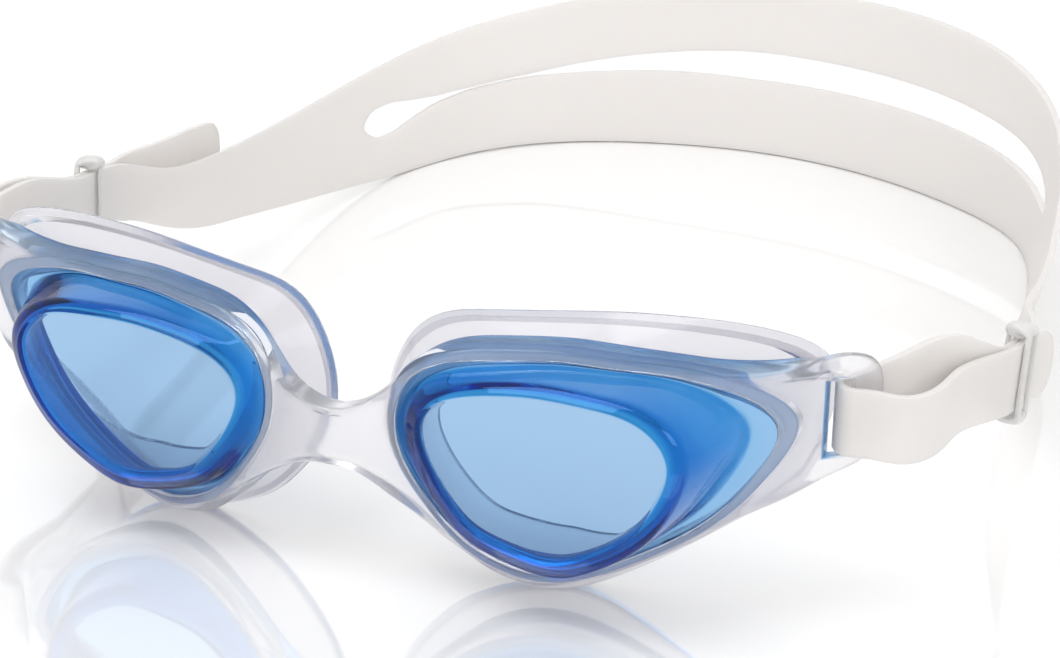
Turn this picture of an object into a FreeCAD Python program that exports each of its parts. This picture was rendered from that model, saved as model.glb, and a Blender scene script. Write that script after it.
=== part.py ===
import FreeCAD, Part
import math
import os

from FreeCAD import Vector

# Swim goggles, in millimetres.  While the model is built, X = 0 is the goggles' mirror plane
# (+X is the wearer's left), Y = 0 is the front of the two windows and grows towards the back
# of the head, and Z = 0 is the surface that the goggles and the strap's back rest on.  At the
# end every piece is moved together, so that the origin is the bottom centre of the whole box.

# ---- clear frame: two rims, nose bridge and side tabs --------------------------------------
NOSE_GAP = 17.4                 # between the two rims at the nose
RIM_WIDTH = 61.8
RIM_HEIGHT = 43.9               # of the rim's top above the surface
RIM_BASE = 1.5                  # of the rim's lowest place, at its back
WRAP_DEG = 13.5                 # the rims' planes turn back towards the temples
LEAN_DEG = 3.5                  # the whole front leans back at its top
NOSE_X = 9.0                    # the depths on the turned planes are measured at this X
RIM_FRONT_DEPTH = 1.0
RIM_DEPTH = 4.8
RIM_DRAFT = 1.0                 # the rim is this much smaller at its front
RIM_BASE_DRAFT = 2.9            # and its front starts this much higher below the eye
LIP_THICKNESS = 1.0             # the front lip that holds the lens flange
FLANGE_THICKNESS = 1.8
FLANGE_MARGIN = 1.3             # from the lens flange's edge to the rim's outer edge
FLANGE_BASE_MARGIN = 0.6        # the same below the eye, above the rim's front edge
LIP_TEMPLE = 3.9                # from the rim's outer edge in to the edge of its front lip
LIP_TOP = 2.6
LIP_BOTTOM = 4.8
SEAT_WIDTH = 4.6                # the rim's width around its rear opening
BRIDGE_HEIGHT = 10.0
BRIDGE_THICKNESS = 4.2
BRIDGE_CENTRE_Z = 25.5
BRIDGE_ROOT_HEIGHT = 17.0
BRIDGE_ROOT_RISE = 2.0          # the roots' middle is higher than the bridge's
BRIDGE_ROOT = 2.3               # how far the bridge runs into each rim

# ---- eye cup: the flat window and the wall behind it --------------------------------------
WINDOW_WIDTH = 39.8
WINDOW_HEIGHT = 26.7
WINDOW_CENTRE_X = 35.2          # half of the distance between the two windows' centres
WINDOW_CENTRE_Z = 25.8
WINDOW_THICKNESS = 2.0
BEVEL_WIDTH = 2.3               # band between the flat window and the cup's side wall
BEVEL_DEPTH = 1.5
BEVEL_DROP = 0.8                # the bevel is wider below the window than above it
CUP_WALL = 1.6
LAND_NOSE = 2.5                 # from the rim's outer edge in to the cup's mouth, where the
LAND_TEMPLE = 7.7               # side wall meets the flange
LAND_TOP = 3.1
LAND_BOTTOM = 6.1

# ---- side tabs that the strap folds round ----------------------------------------------------
STRAP_DROP = 9.3                # from the rim's top down to the strap's middle at the tabs
STRAP_MID_Z = RIM_HEIGHT - STRAP_DROP
TAB_TURN_DEG = 33.0             # the tab turns back from the X axis by this much
TAB_THICKNESS = 2.6
TAB_ARM = 3.8                   # the tab's height above its slot
TAB_LOW_ARM = 1.5               # and below it
TAB_ROOT = 4.5                  # how far the tab's plate runs back into the rim
TAB_ROOT_DROP = 2.3             # from the rim's top down to the root's top
TAB_ROOT_FLARE = 6.0            # the root reaches this much lower than the tab's end
SLOT_START = 3.0
SLOT_WIDTH = 3.4
SLOT_HEIGHT = 12.4
BAR_WIDTH = 4.6                 # the bar outside the slot
CORNER_RADIUS = 2.6
BAR_ROUNDING = 0.6              # on the edges that the strap bears on

# ---- soft face seals ------------------------------------------------------------------------
SEAL_WALL = 1.0
SEAL_NOSE_REACH = 4.5           # how far the face edge stands out past the rim
SEAL_TEMPLE_REACH = 2.9
SEAL_TOP_REACH = 2.4
SEAL_DEPTH = 8.4                # from the rim's back to the face edge, at the nose
SEAL_WRAP_DEG = 8.5
SEAL_LIP = 3.4                  # width of the inturned edge that lies on the face
SEAL_FOOT_INSET = 1.4           # the seal's foot sits this far inside the rim's edge
SEAL_FOOT_WIDTH = 3.0

# ---- strap ----------------------------------------------------------------------------------
STRAP_END_THICKNESS = 1.1
STRAP_BACK_THICKNESS = 1.6
STRAP_END_WIDTH = 10.8
BAR_GAP = 1.2                   # between the folded strap and the tab's end bar
LAYER_GAP = 0.2                 # between the strap's two layers inside a slider

# ---- sliders ----------------------------------------------------------------------------------
SLIDER_HEIGHT = 16.6
SLIDER_WIDTH = 5.4
SLIDER_BAR = 1.3
SLIDER_SKIN = 0.9               # thickness of the bars across the strap
SLIDER_RAIL = 2.3               # height of the rails above and below the strap
SLIDER_CLEARANCE = 0.25
SLIDE_REACH = 3.0               # how far a slider may move each way along the strap

CLEARANCE = 0.12                # between pieces that are held in each other

# The outlines of the window, the rim and the face edge, as shares of their own half width
# and half height.  The points lie in the same directions on all three, given in degrees from
# the temple, over the top to the nose and back under the eye.
OUTLINE_DIRECTIONS = [0, 15, 35, 60, 90, 120, 150, 175, 205, 240, 266, 300, 330]
WINDOW_OUTLINE = [(0.93, 0.00), (1.00, 0.42), (0.80, 0.84), (0.38, 0.97), (0.00, 0.98),
                  (-0.36, 0.92), (-0.82, 0.71), (-1.00, 0.26), (-0.72, -0.54), (-0.35, -0.90),
                  (0.00, -1.00), (0.34, -0.88), (0.66, -0.56)]
RIM_OUTLINE = [(0.91, 0.16), (1.00, 0.60), (0.60, 0.90), (0.18, 0.96), (-0.14, 1.00),
               (-0.48, 0.98), (-0.91, 0.80), (-1.00, 0.23), (-0.83, -0.36), (-0.53, -0.84),
               (-0.20, -1.00), (0.25, -0.76), (0.60, -0.41)]
FACE_OUTLINE = [(0.92, 0.16), (1.00, 0.68), (0.75, 0.96), (0.28, 1.00), (-0.10, 0.97),
                (-0.52, 0.91), (-0.87, 0.72), (-1.00, 0.13), (-0.80, -0.50), (-0.50, -0.86),
                (-0.16, -1.00), (0.26, -0.70), (0.59, -0.34)]

# The strap between the two sliders, as it lies: plan position, height of the lower edge,
# outward lean in degrees, and width over both bands.  At the back the edge is settled on the
# surface: there it starts a little below, and is cut flat.
STRAP_COURSE = [(-76.4, 80.0, 18.6, 8.0, 12.2), (-75.4, 102.0, 12.2, 10.0, 14.2),
                (-75.2, 124.0, 7.4, 14.0, 16.8), (-73.8, 147.0, 3.0, 16.0, 20.4),
                (-69.4, 168.0, 0.2, 16.0, 24.8), (-60.0, 187.0, -0.2, 15.0, 28.8),
                (-44.0, 202.0, -0.2, 12.0, 32.9), (-21.0, 211.2, -0.2, 10.0, 37.7),
                (4.0, 214.2, -0.2, 9.0, 39.2), (30.0, 209.4, -0.2, 8.0, 39.2),
                (53.0, 198.0, -0.2, 6.0, 38.0), (70.0, 182.4, -0.2, 4.0, 34.2),
                (77.0, 163.0, 0.0, 8.0, 28.6), (80.6, 137.0, 1.4, 12.0, 22.6),
                (83.6, 108.0, 7.4, 15.0, 17.0), (88.0, 80.0, 17.6, 12.0, 13.0)]
SPLIT_FROM, SPLIT_TO = 4.6, 12.95    # the split's ends, counted in rows of the course
# The split's height at some distance from each end, in rows and millimetres.  The bands lie
# nearly together behind the hole on the right, where the strap's weight closes the split.
SPLIT_RIGHT = [(0.0, 0.4), (0.06, 3.4), (0.15, 5.6), (0.3, 7.2), (0.5, 6.4), (0.8, 3.6),
               (1.1, 1.8), (1.5, 1.2), (2.1, 1.2), (3.0, 3.4), (4.2, 6.6)]
SPLIT_LEFT = [(0.0, 0.4), (0.06, 2.6), (0.2, 4.6), (0.5, 6.0), (1.0, 6.6)]

# Each slider's middle as a step from the tab's bar, outwards, back and up, and the way the
# strap runs through it towards the back.
LEFT_SLIDER_STEP, LEFT_RUN = (17.0, 31.1, -3.8), Vector(0.14, 1.0, -0.16)
RIGHT_SLIDER_STEP, RIGHT_RUN = (3.2, 38.3, -3.7), Vector(0.02, 1.0, -0.12)
# The layers between tab and slider, as steps from the tab's bar too.
LEFT_OUTER = [(6.7, -0.9, -0.8), (10.2, 4.1, -1.3), (12.0, 15.0, -2.0)]
LEFT_INNER = [(3.2, 5.9, 1.8), (6.8, 12.1, 2.4), (11.0, 19.1, 1.2)]
RIGHT_OUTER = [(6.0, 3.1, 0.4), (7.8, 11.5, 0.4), (6.4, 22.5, 0.2)]
RIGHT_INNER = [(3.0, 6.5, 0.8), (4.4, 13.5, 1.0), (3.8, 22.5, 0.4)]
# The free tongues beyond the sliders, as steps from the slider's middle.
LEFT_TONGUE = [(3.4, 10.8, -2.2)]
RIGHT_TONGUE = [(-1.6, 12.0, -2.4), (-2.6, 26.0, -4.6), (-3.4, 40.0, -6.4), (-3.8, 52.0, -8.2)]
TONGUE_WIDTH = 12.8

WRAP = math.tan(math.radians(WRAP_DEG))
LEAN = math.tan(math.radians(LEAN_DEG))
UP = Vector(0, 0, 1)
NOSE_EDGE = NOSE_GAP / 2
TEMPLE_EDGE = NOSE_EDGE + RIM_WIDTH
FLANGE_FRONT_DEPTH = RIM_FRONT_DEPTH + LIP_THICKNESS
FLANGE_BACK_DEPTH = FLANGE_FRONT_DEPTH + FLANGE_THICKNESS
RIM_BACK_DEPTH = RIM_FRONT_DEPTH + RIM_DEPTH


def blend(outline_a, outline_b, share):
    """The outline part of the way from one to the other."""
    return [(a[0] + (b[0] - a[0]) * share, a[1] + (b[1] - a[1]) * share)
            for a, b in zip(outline_a, outline_b)]


def ring(outline, centre, size, depth, wrap=WRAP, lean=LEAN):
    """A closed smooth curve on the plane y = depth + wrap (x - NOSE_X) + lean (z - middle)."""
    points = []
    for share_x, share_z in outline:
        x = centre[0] + share_x * size[0] / 2
        z = centre[1] + share_z * size[1] / 2
        points.append(Vector(x, depth + wrap * (x - NOSE_X) + lean * (z - WINDOW_CENTRE_Z), z))
    curve = Part.BSplineCurve()
    curve.interpolate(Points=points, PeriodicFlag=True, Parameters=OUTLINE_DIRECTIONS + [360])
    return Part.Wire([curve.toShape()])


def grown(size, margin):
    """A size made larger by a margin on every side, or smaller where it is negative."""
    return (size[0] + 2 * margin, size[1] + 2 * margin)


def solid_through(rings):
    """A closed solid with straight walls from each ring to the next."""
    return Part.makeLoft(rings, True, True)


def box_of(nose, temple, bottom, top):
    """The centre and the size of an outline, from its four outermost places."""
    return ((nose + temple) / 2, (bottom + top) / 2), (temple - nose, top - bottom)


MOUTH_OUTLINE = blend(WINDOW_OUTLINE, RIM_OUTLINE, 0.5)
OPENING_OUTLINE = blend(MOUTH_OUTLINE, RIM_OUTLINE, 0.7)
WINDOW_SIZE = (WINDOW_WIDTH, WINDOW_HEIGHT)
WINDOW_CENTRE = (WINDOW_CENTRE_X, WINDOW_CENTRE_Z)
BEVEL_CENTRE = (WINDOW_CENTRE_X, WINDOW_CENTRE_Z - BEVEL_DROP)
RIM_CENTRE, RIM_SIZE = box_of(NOSE_EDGE, TEMPLE_EDGE, RIM_BASE, RIM_HEIGHT)
FRONT_BASE = RIM_BASE + RIM_BASE_DRAFT
FRONT_CENTRE, FRONT_SIZE = box_of(NOSE_EDGE + RIM_DRAFT, TEMPLE_EDGE - RIM_DRAFT,
                                  FRONT_BASE, RIM_HEIGHT - RIM_DRAFT)
FLANGE_CENTRE, FLANGE_SIZE = box_of(NOSE_EDGE + FLANGE_MARGIN, TEMPLE_EDGE - FLANGE_MARGIN,
                                    FRONT_BASE + FLANGE_BASE_MARGIN, RIM_HEIGHT - FLANGE_MARGIN)
OPENING_CENTRE, OPENING_SIZE = box_of(NOSE_EDGE + LAND_NOSE, TEMPLE_EDGE - LIP_TEMPLE,
                                      RIM_BASE + LIP_BOTTOM, RIM_HEIGHT - LIP_TOP)
MOUTH_CENTRE, MOUTH_SIZE = box_of(NOSE_EDGE + LAND_NOSE, TEMPLE_EDGE - LAND_TEMPLE,
                                  RIM_BASE + LAND_BOTTOM, RIM_HEIGHT - LAND_TOP)
FACE_CENTRE, FACE_SIZE = box_of(NOSE_EDGE - SEAL_NOSE_REACH, TEMPLE_EDGE + SEAL_TEMPLE_REACH,
                                0, RIM_HEIGHT + SEAL_TOP_REACH)


def lens():
    """The hard tinted cup: flat window, bevel, flared wall and the flange in the rim."""
    bevel_size = grown(WINDOW_SIZE, BEVEL_WIDTH)
    outside = solid_through([
        ring(WINDOW_OUTLINE, WINDOW_CENTRE, WINDOW_SIZE, 0, wrap=0),
        ring(WINDOW_OUTLINE, BEVEL_CENTRE, bevel_size, BEVEL_DEPTH, wrap=0),
        ring(MOUTH_OUTLINE, MOUTH_CENTRE, MOUTH_SIZE, FLANGE_FRONT_DEPTH + FLANGE_THICKNESS / 2)])
    flange = solid_through([
        ring(RIM_OUTLINE, FLANGE_CENTRE, FLANGE_SIZE, FLANGE_FRONT_DEPTH),
        ring(RIM_OUTLINE, FLANGE_CENTRE, FLANGE_SIZE, FLANGE_BACK_DEPTH)])
    inside = solid_through([
        ring(WINDOW_OUTLINE, WINDOW_CENTRE, grown(WINDOW_SIZE, -CUP_WALL / 4), WINDOW_THICKNESS, wrap=0),
        ring(WINDOW_OUTLINE, BEVEL_CENTRE, grown(bevel_size, -CUP_WALL), BEVEL_DEPTH + CUP_WALL, wrap=0),
        ring(MOUTH_OUTLINE, MOUTH_CENTRE, grown(MOUTH_SIZE, -CUP_WALL), FLANGE_BACK_DEPTH + CUP_WALL)])
    return outside.fuse(flange).cut(inside).removeSplitter()


def rim():
    """One clear rim before it is hollowed out."""
    return solid_through([
        ring(RIM_OUTLINE, FRONT_CENTRE, FRONT_SIZE, RIM_FRONT_DEPTH),
        ring(RIM_OUTLINE, RIM_CENTRE, RIM_SIZE, RIM_BACK_DEPTH)])


def rim_hollows():
    """What is cut from a rim: the pocket for the lens flange, and the openings in front of it
    for the cup and behind it for the eye."""
    pocket_size = grown(FLANGE_SIZE, CLEARANCE)
    pocket = solid_through([
        ring(RIM_OUTLINE, FLANGE_CENTRE, pocket_size, FLANGE_FRONT_DEPTH - CLEARANCE),
        ring(RIM_OUTLINE, FLANGE_CENTRE, pocket_size, FLANGE_BACK_DEPTH + CLEARANCE)])
    front_size = grown(OPENING_SIZE, CLEARANCE)
    front = solid_through([
        ring(OPENING_OUTLINE, OPENING_CENTRE, front_size, -RIM_DEPTH),
        ring(OPENING_OUTLINE, OPENING_CENTRE, front_size, FLANGE_FRONT_DEPTH)])
    back = solid_through([
        ring(RIM_OUTLINE, RIM_CENTRE, grown(RIM_SIZE, -SEAT_WIDTH), FLANGE_FRONT_DEPTH),
        ring(RIM_OUTLINE, RIM_CENTRE, grown(RIM_SIZE, -SEAT_WIDTH), 2 * RIM_BACK_DEPTH)])
    return [pocket, front, back]


TAB_WAY = Vector(math.cos(math.radians(TAB_TURN_DEG)), math.sin(math.radians(TAB_TURN_DEG)), 0)
TAB_OUT = Vector(TAB_WAY.y, -TAB_WAY.x, 0)


def tab_point(along, out, z):
    """A point of the tab: along its middle line, out from it, and its height."""
    root_y = RIM_FRONT_DEPTH + RIM_DEPTH / 2 + WRAP * (TEMPLE_EDGE - NOSE_X)
    return Vector(TEMPLE_EDGE, root_y, 0) + TAB_WAY * along + TAB_OUT * out + Vector(0, 0, z)


def plate(corners, radius, thickness):
    """An upright plate in the tab's plane, with its corners rounded."""
    points = [tab_point(along, -thickness / 2, z) for along, z in corners]
    prism = Part.Face(Part.makePolygon(points + points[:1])).extrude(TAB_OUT * thickness)
    upright = [edge for edge in prism.Edges
               if abs(abs(edge.tangentAt(edge.FirstParameter).dot(TAB_OUT)) - 1) < 1e-6]
    return prism.makeFillet(radius, upright)


def tab():
    """The side tab: a plate with a tall slot, whose outer part is the bar the strap folds on."""
    low, high = STRAP_MID_Z - SLOT_HEIGHT / 2, STRAP_MID_Z + SLOT_HEIGHT / 2
    end = SLOT_START + SLOT_WIDTH + BAR_WIDTH
    body = plate([(-TAB_ROOT, RIM_HEIGHT - TAB_ROOT_DROP), (end, high + TAB_ARM),
                  (end, low - TAB_LOW_ARM), (-TAB_ROOT, low - TAB_LOW_ARM - TAB_ROOT_FLARE)],
                 CORNER_RADIUS, TAB_THICKNESS)
    hole = plate([(SLOT_START, low), (SLOT_START, high), (SLOT_START + SLOT_WIDTH, high),
                  (SLOT_START + SLOT_WIDTH, low)], SLOT_WIDTH / 3, TAB_THICKNESS * 3)
    body = body.cut(hole)
    return body.makeFillet(BAR_ROUNDING, [edge for edge in body.Edges if on_tab_face(edge)])


def on_tab_face(edge):
    """True for the edges that lie in the tab plate's front or back face."""
    middle = edge.valueAt((edge.FirstParameter + edge.LastParameter) / 2) - tab_point(0, 0, 0)
    across = edge.tangentAt(edge.FirstParameter).dot(TAB_OUT)
    return abs(across) < 1e-6 and abs(abs(middle.dot(TAB_OUT)) - TAB_THICKNESS / 2) < 1e-6


def bridge():
    """The nose bridge: low in the middle and spreading into both rims."""
    sections = []
    for share in (-1.0, -0.5, 0.0, 0.5, 1.0):
        height = BRIDGE_HEIGHT + (BRIDGE_ROOT_HEIGHT - BRIDGE_HEIGHT) * share * share
        x = share * (NOSE_EDGE + BRIDGE_ROOT)
        front = RIM_FRONT_DEPTH + (RIM_DEPTH - BRIDGE_THICKNESS) / 2
        corners = [(front, -0.42), (front, 0.42), (front + BRIDGE_THICKNESS * 0.3, 0.5),
                   (front + BRIDGE_THICKNESS, 0.5), (front + BRIDGE_THICKNESS, -0.5),
                   (front + BRIDGE_THICKNESS * 0.3, -0.5)]
        middle = BRIDGE_CENTRE_Z + BRIDGE_ROOT_RISE * share * share
        points = [Vector(x, y, middle + height * z) for y, z in corners]
        sections.append(Part.makePolygon(points + points[:1]))
    return Part.makeLoft(sections, True, False)


def mirrored(shape):
    """The same piece for the other eye."""
    return shape.mirror(Vector(0, 0, 0), Vector(1, 0, 0))


def frame():
    """The one-piece clear frame."""
    one_rim, one_tab = rim(), tab()
    body = one_rim.multiFuse([mirrored(one_rim), bridge(), one_tab, mirrored(one_tab)])
    for hollow in rim_hollows():
        body = body.cut(hollow).cut(mirrored(hollow))
    return body.removeSplitter()


def seal():
    """One soft face seal: a foot on the rim's back, a flaring skirt and an inturned edge."""
    wrap = math.tan(math.radians(SEAL_WRAP_DEG))
    foot_depth = RIM_BACK_DEPTH + CLEARANCE
    foot_size = grown(RIM_SIZE, -SEAL_FOOT_INSET)
    face_depth = RIM_BACK_DEPTH + SEAL_DEPTH
    skirt = solid_through([
        ring(RIM_OUTLINE, RIM_CENTRE, foot_size, foot_depth),
        ring(FACE_OUTLINE, FACE_CENTRE, FACE_SIZE, face_depth, wrap)])
    hollow = solid_through([
        ring(RIM_OUTLINE, RIM_CENTRE, grown(foot_size, -SEAL_WALL), foot_depth + SEAL_WALL),
        ring(FACE_OUTLINE, FACE_CENTRE, grown(FACE_SIZE, -SEAL_WALL), face_depth - SEAL_WALL, wrap)])
    foot_hole = solid_through([
        ring(RIM_OUTLINE, RIM_CENTRE, grown(foot_size, -SEAL_FOOT_WIDTH), foot_depth - SEAL_WALL),
        ring(RIM_OUTLINE, RIM_CENTRE, grown(foot_size, -SEAL_FOOT_WIDTH), foot_depth + 1.5 * SEAL_WALL)])
    face_hole = solid_through([
        ring(FACE_OUTLINE, FACE_CENTRE, grown(FACE_SIZE, -SEAL_LIP), face_depth - 1.5 * SEAL_WALL, wrap),
        ring(FACE_OUTLINE, FACE_CENTRE, grown(FACE_SIZE, -SEAL_LIP), face_depth + SEAL_WALL, wrap)])
    return skirt.cut(hollow).cut(foot_hole).cut(face_hole)


def slider_axes(centre, run):
    """A slider's three directions: along the strap, away from the head, and up."""
    run = Vector(run).normalize()
    out = Vector(run.y, -run.x, 0).normalize()
    if centre.x < 0:
        out = out * -1
    up = run.cross(out).normalize()
    if up.z < 0:
        up = up * -1
    return run, out, up


FOLD_RADIUS = TAB_THICKNESS / 2 + BAR_GAP + STRAP_END_THICKNESS / 2
FOLD_AT = SLOT_START + SLOT_WIDTH + TAB_THICKNESS / 2


def from_bar(sign, step):
    """A place on the left side (sign 1) or right side (sign -1), by a step from the tab's bar."""
    place = tab_point(FOLD_AT, 0, STRAP_MID_Z) + Vector(*step)
    return Vector(place.x * sign, place.y, place.z)


LEFT_SLIDER = from_bar(1, LEFT_SLIDER_STEP)
RIGHT_SLIDER = from_bar(-1, RIGHT_SLIDER_STEP)


def strap_rows():
    """The strap's whole line from one free tongue to the other, as rows of
    (middle point, upright direction, width, thickness)."""
    layer_step = (STRAP_END_THICKNESS + LAYER_GAP) / 2

    def side(sign, slider, run, outer, inner, tongue):
        """Rows from the tongue's tip to the slider on the way back, for one side."""
        run, out, up = slider_axes(slider, run)
        straight = SLIDER_WIDTH / 2 + SLIDE_REACH + SLIDER_CLEARANCE
        rows = []
        steps = [slider + Vector(*step) for step in tongue]
        tip = steps[-1]
        way = (steps[-1] - steps[-2] if len(steps) > 1 else run).normalize()
        for back, share in ((0.0, 0.34), (1.2, 0.68), (3.0, 0.9)):
            rows.append((tip - way * back, up, TONGUE_WIDTH * share))
        rows.extend((point, up, TONGUE_WIDTH) for point in reversed(steps[:-1]))
        for along in (straight, 0.0, -straight):
            rows.append((slider + run * along + out * layer_step, up, STRAP_END_WIDTH))
        for step in reversed(outer):
            rows.append((from_bar(sign, step), UP, STRAP_END_WIDTH))
        for angle in (90, 135, 180, 225, 270):
            turn = math.radians(angle)
            along = FOLD_AT + FOLD_RADIUS * math.cos(turn)
            point = tab_point(along, FOLD_RADIUS * math.sin(turn), STRAP_MID_Z)
            rows.append((Vector(point.x * sign, point.y, point.z), UP, STRAP_END_WIDTH))
        for step in inner:
            rows.append((from_bar(sign, step), UP, STRAP_END_WIDTH))
        for along in (-straight, 0.0, straight):
            rows.append((slider + run * along - out * layer_step, up, STRAP_END_WIDTH))
        return [(point, upright, width, STRAP_END_THICKNESS) for point, upright, width in rows]

    first = side(-1, RIGHT_SLIDER, RIGHT_RUN, RIGHT_OUTER, RIGHT_INNER, RIGHT_TONGUE)
    last = side(1, LEFT_SLIDER, LEFT_RUN, LEFT_OUTER, LEFT_INNER, LEFT_TONGUE)
    middle = []
    for number, (x, y, low, lean, width) in enumerate(STRAP_COURSE):
        before = STRAP_COURSE[max(number - 1, 0)]
        after = STRAP_COURSE[min(number + 1, len(STRAP_COURSE) - 1)]
        outward = Vector(-(after[1] - before[1]), after[0] - before[0], 0).normalize()
        tilt = math.radians(lean)
        upright = UP * math.cos(tilt) + outward * math.sin(tilt)
        share = (width - STRAP_END_WIDTH) / (max(row[4] for row in STRAP_COURSE) - STRAP_END_WIDTH)
        thickness = STRAP_END_THICKNESS + (STRAP_BACK_THICKNESS - STRAP_END_THICKNESS) * share
        middle.append((Vector(x, y, low) + upright * (width / 2), upright, width, thickness))
    return first, middle, last[::-1]


def through(points, knots):
    """A smooth curve through the points, at the given parameters."""
    curve = Part.BSplineCurve()
    curve.interpolate(Points=points, Parameters=knots)
    return curve


def ribbon(rows):
    """A closed band through the rows: each row is a rectangle across the band."""
    knots = [0.0]
    for before, after in zip(rows, rows[1:]):
        knots.append(knots[-1] + (after[0] - before[0]).Length)
    middle_line = through([row[0] for row in rows], knots)
    corners = [[], [], [], []]
    for row, knot in zip(rows, knots):
        point, upright, width, thickness = row
        way = middle_line.tangent(knot)[0]
        across = way.cross(upright).normalize() * (thickness / 2)
        half = upright * (width / 2)
        for line, place in zip(corners, (point - half - across, point + half - across,
                                         point + half + across, point - half + across)):
            line.append(place)
    edges = [through(line, knots).toShape() for line in corners]
    faces = [Part.makeRuledSurface(edges[i], edges[(i + 1) % 4]) for i in range(4)]
    for end in (0, -1):
        loop = [line[end] for line in corners]
        faces.append(Part.Face(Part.makePolygon(loop + loop[:1])))
    shell = Part.makeShell(faces)
    shell.sewShape()
    band = Part.Solid(shell)
    if band.Volume < 0:
        band.reverse()
    return band


def height_at(away, shape):
    """The split's height at a distance from its end, on straight lines between the places."""
    for (near, low), (far, high) in zip(shape, shape[1:]):
        if away <= far:
            return low + (high - low) * (away - near) / (far - near)
    return shape[-1][1]


def split_rows(middle):
    """The slot between the two back bands, as rows for a cutting ribbon."""
    knots = list(range(len(middle)))
    low = through([row[0] - row[1] * (row[2] / 2) for row in middle], knots)
    high = through([row[0] + row[1] * (row[2] / 2) for row in middle], knots)
    length = SPLIT_TO - SPLIT_FROM
    rows = []
    for step in range(33):
        share = 0.5 - 0.5 * math.cos(math.pi * step / 32)
        place = SPLIT_FROM + length * share - 1
        bottom, top = low.value(place), high.value(place)
        upright = (top - bottom).normalize()
        height = min(height_at(share * length, SPLIT_RIGHT),
                     height_at((1 - share) * length, SPLIT_LEFT))
        centre = bottom + (top - bottom) * 0.52
        rows.append((centre, upright, height, 4 * STRAP_BACK_THICKNESS))
    return rows


def strap():
    """The one-piece strap, folded round both tab bars, with its split at the back."""
    first, middle, last = strap_rows()
    band = ribbon(first + middle + last).cut(ribbon(split_rows(middle)))
    reach = max(row[1] for row in STRAP_COURSE)
    ground = Part.makeBox(2 * reach, 2 * reach, STRAP_BACK_THICKNESS,
                          Vector(-reach, 0, -STRAP_BACK_THICKNESS))
    return band.cut(ground)


def slider(centre, run):
    """A three-bar slider: two bars outside the strap's layers and one inside them."""
    run, out, up = slider_axes(centre, run)
    channel = 2 * STRAP_END_THICKNESS + LAYER_GAP + 2 * SLIDER_CLEARANCE
    depth = channel + 2 * SLIDER_SKIN
    inner_height = SLIDER_HEIGHT - 2 * SLIDER_RAIL

    def block(width, height, thick, along=0.0, outward=0.0):
        """A box centred on the slider's middle, moved along the strap and outwards."""
        corner = (centre + run * (along - width / 2) + out * (outward - thick / 2)
                  - up * (height / 2))
        a, b, c = run * width, out * thick, up * height
        base = Part.Face(Part.makePolygon([corner, corner + a, corner + a + b, corner + b, corner]))
        return base.extrude(c)

    body = block(SLIDER_WIDTH, SLIDER_HEIGHT, depth)
    body = body.makeFillet(SLIDER_SKIN * 0.8, body.Edges)
    body = body.cut(block(SLIDER_WIDTH * 2, inner_height, channel))
    window = block(SLIDER_WIDTH - 2 * SLIDER_BAR, inner_height, depth, 0, channel / 2 + depth / 2)
    body = body.cut(window)
    for end in (-1, 1):
        reach = (SLIDER_WIDTH - SLIDER_BAR) / 2
        gap = block(reach, inner_height, depth, end * (SLIDER_BAR / 2 + reach / 2),
                    -channel / 2 - depth / 2)
        body = body.cut(gap)
    return body


def main():
    one_lens, one_seal = lens(), seal()
    pieces = {
        "frame": frame(),
        "lens_left": one_lens,
        "lens_right": mirrored(one_lens),
        "seal_left": one_seal,
        "seal_right": mirrored(one_seal),
        "strap": strap(),
        "slider_left": slider(LEFT_SLIDER, LEFT_RUN),
        "slider_right": slider(RIGHT_SLIDER, RIGHT_RUN),
    }
    box = Part.makeCompound(list(pieces.values())).optimalBoundingBox(False, False)
    origin = Vector((box.XMin + box.XMax) / 2, (box.YMin + box.YMax) / 2, box.ZMin)
    os.makedirs("parts", exist_ok=True)
    for name, shape in pieces.items():
        shape.translate(origin * -1)
        shape.exportStep("parts/%s.step" % name)
        print(name, "valid", shape.isValid(), "solids", len(shape.Solids),
              "volume %.0f mm3" % shape.Volume)
    bar = from_bar(1, (0, 0, 0)) - origin
    print("origin moved by", origin, "strap hinge line y %.2f z %.2f" % (bar.y, bar.z))
    print("left slider", LEFT_SLIDER - origin, "right slider", RIGHT_SLIDER - origin)
    print("box %.1f x %.1f x %.1f" % (box.XLength, box.YLength, box.ZLength))


main()
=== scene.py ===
# %% [markdown]
# # Swim goggles
# This file dresses the measured model of a pair of swim goggles. They lie on a pale
# table: two tinted eye cups in one clear frame, a soft seal behind each, and a milky
# silicone strap that runs back through two small sliders and splits into two bands.
# The measured solids fix where everything lies, and nearly every size here is theirs.
# The pieces are made again as smooth surfaces, because rounded edges and thin walls are
# what make clear plastic look clear.

# %% Load the measured model
import math

import bmesh
import bpy
import numpy as np
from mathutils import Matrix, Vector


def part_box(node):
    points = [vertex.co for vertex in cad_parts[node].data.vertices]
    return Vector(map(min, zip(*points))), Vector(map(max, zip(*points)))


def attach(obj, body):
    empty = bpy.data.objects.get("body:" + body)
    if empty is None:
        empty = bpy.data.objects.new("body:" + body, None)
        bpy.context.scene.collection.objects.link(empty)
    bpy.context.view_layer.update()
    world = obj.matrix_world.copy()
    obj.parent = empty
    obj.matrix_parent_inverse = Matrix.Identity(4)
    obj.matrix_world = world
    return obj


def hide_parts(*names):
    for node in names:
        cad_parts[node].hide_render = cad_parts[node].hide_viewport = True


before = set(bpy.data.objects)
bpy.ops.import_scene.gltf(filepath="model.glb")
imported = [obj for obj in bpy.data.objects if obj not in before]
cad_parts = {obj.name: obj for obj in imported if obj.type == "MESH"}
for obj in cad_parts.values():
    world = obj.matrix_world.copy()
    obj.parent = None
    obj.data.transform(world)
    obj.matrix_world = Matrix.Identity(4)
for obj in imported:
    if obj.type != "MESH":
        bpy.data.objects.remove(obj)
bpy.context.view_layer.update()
print("measured pieces:", sorted(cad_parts))

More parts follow.
